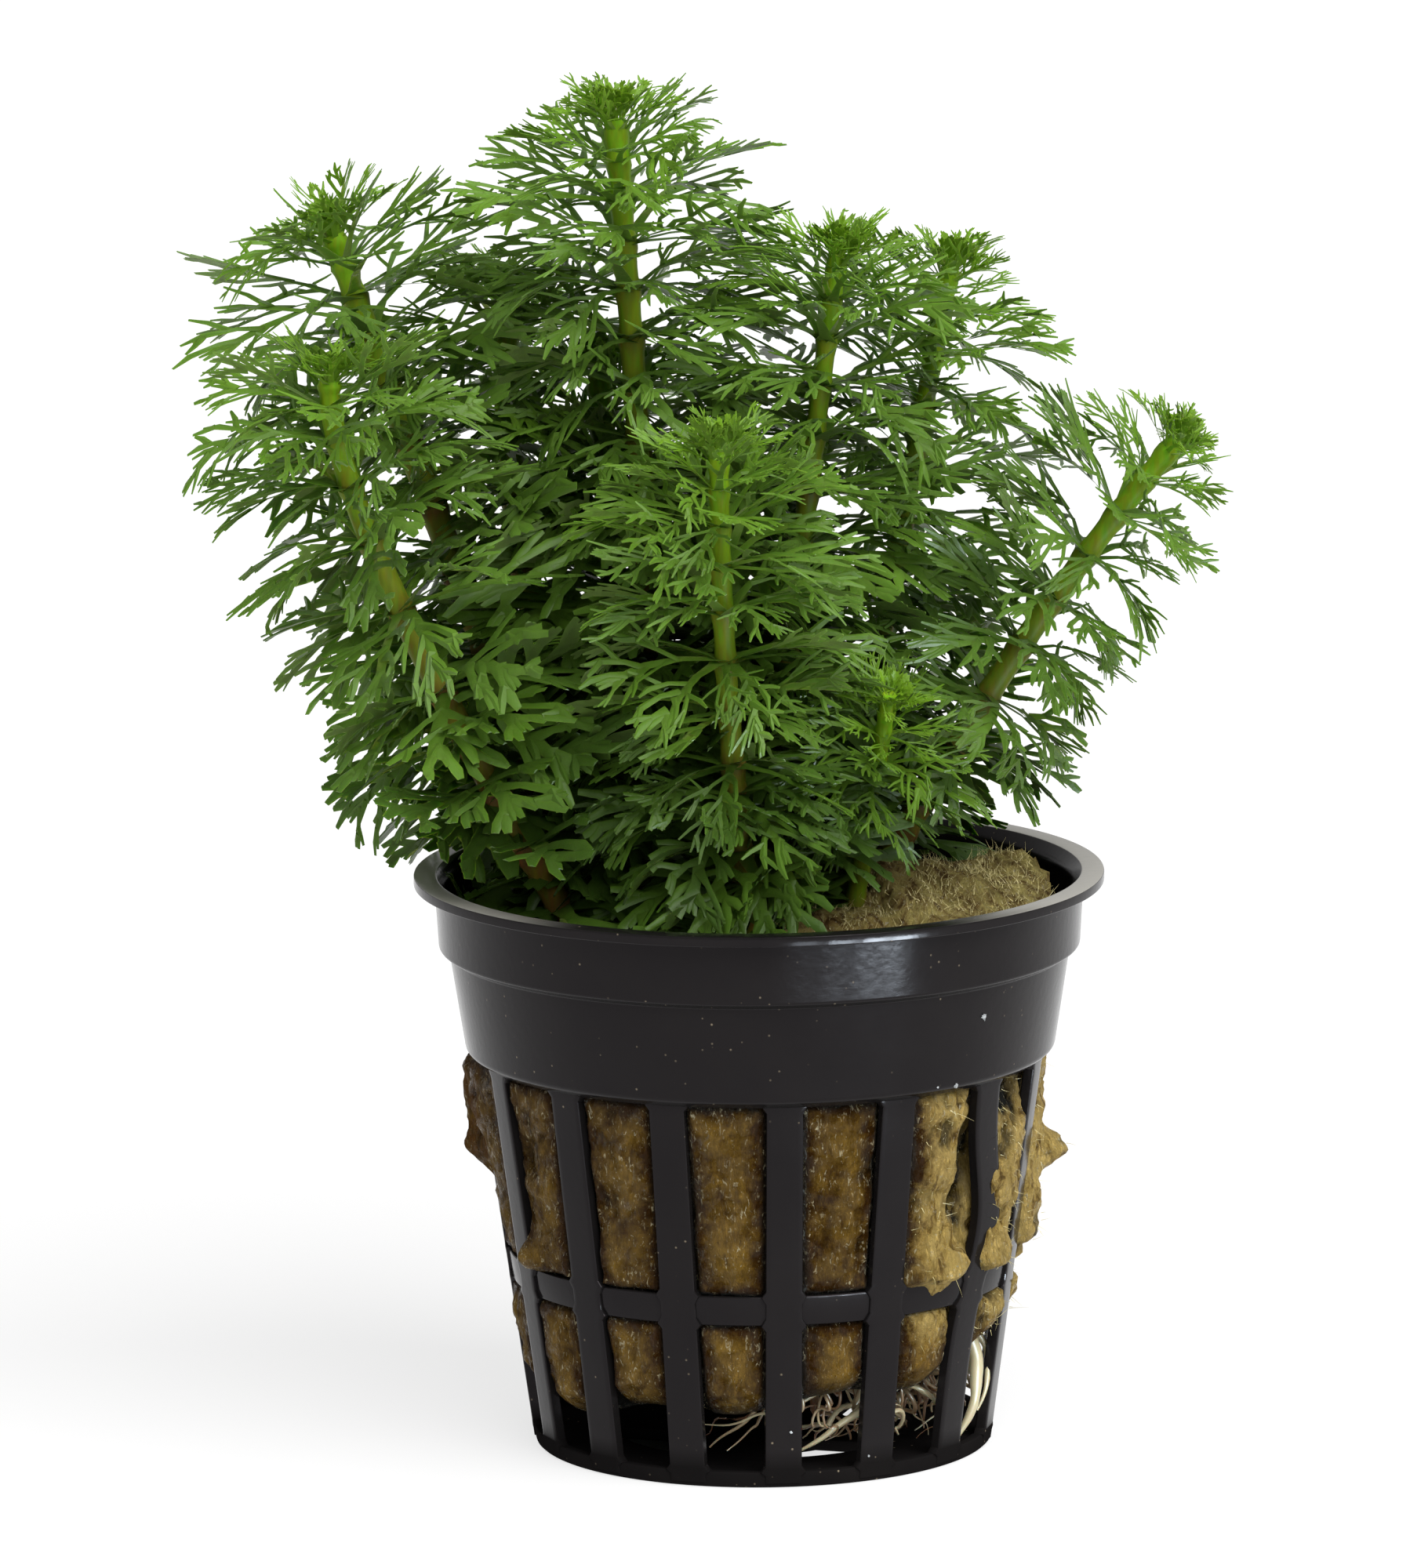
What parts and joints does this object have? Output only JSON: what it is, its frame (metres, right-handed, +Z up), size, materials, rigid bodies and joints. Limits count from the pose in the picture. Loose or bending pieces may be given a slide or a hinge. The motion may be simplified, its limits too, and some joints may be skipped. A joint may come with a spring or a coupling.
{
  "type": "potted ambulia",
  "caption": "Potted ambulia: feathery whorled water-plant shoots standing in mineral wool in a round black net pot.",
  "frame": {"origin": "middle of the pot's underside, on the pot's axis", "axes": "+Z up along the pot's axis, -Y towards the viewer of the picture, +X to the viewer's right"},
  "size_m": [0.0847, 0.055, 0.1086],
  "materials": {
    "pot_plastic": "black moulded plastic, half gloss, with dried water specks",
    "mineral_wool": "wet yellow-brown mineral fibre, matted, glinting where the water stands",
    "root": "smooth cream-white living root",
    "plant": "fresh green leaf, soft sheen, with yellow-green stalks"
  },
  "bodies": {
    "root": {"net_pot": "pot_plastic", "rock_wool": "mineral_wool", "roots": "root", "shoot_tall": "plant", "shoot_back_left": "plant", "shoot_left": "plant", "shoot_front": "plant", "shoot_behind": "plant", "shoot_middle": "plant", "shoot_back_right": "plant", "shoot_far_right": "plant", "shoot_young": "plant", "shoot_hidden": "plant"}
  },
  "joints": []
}
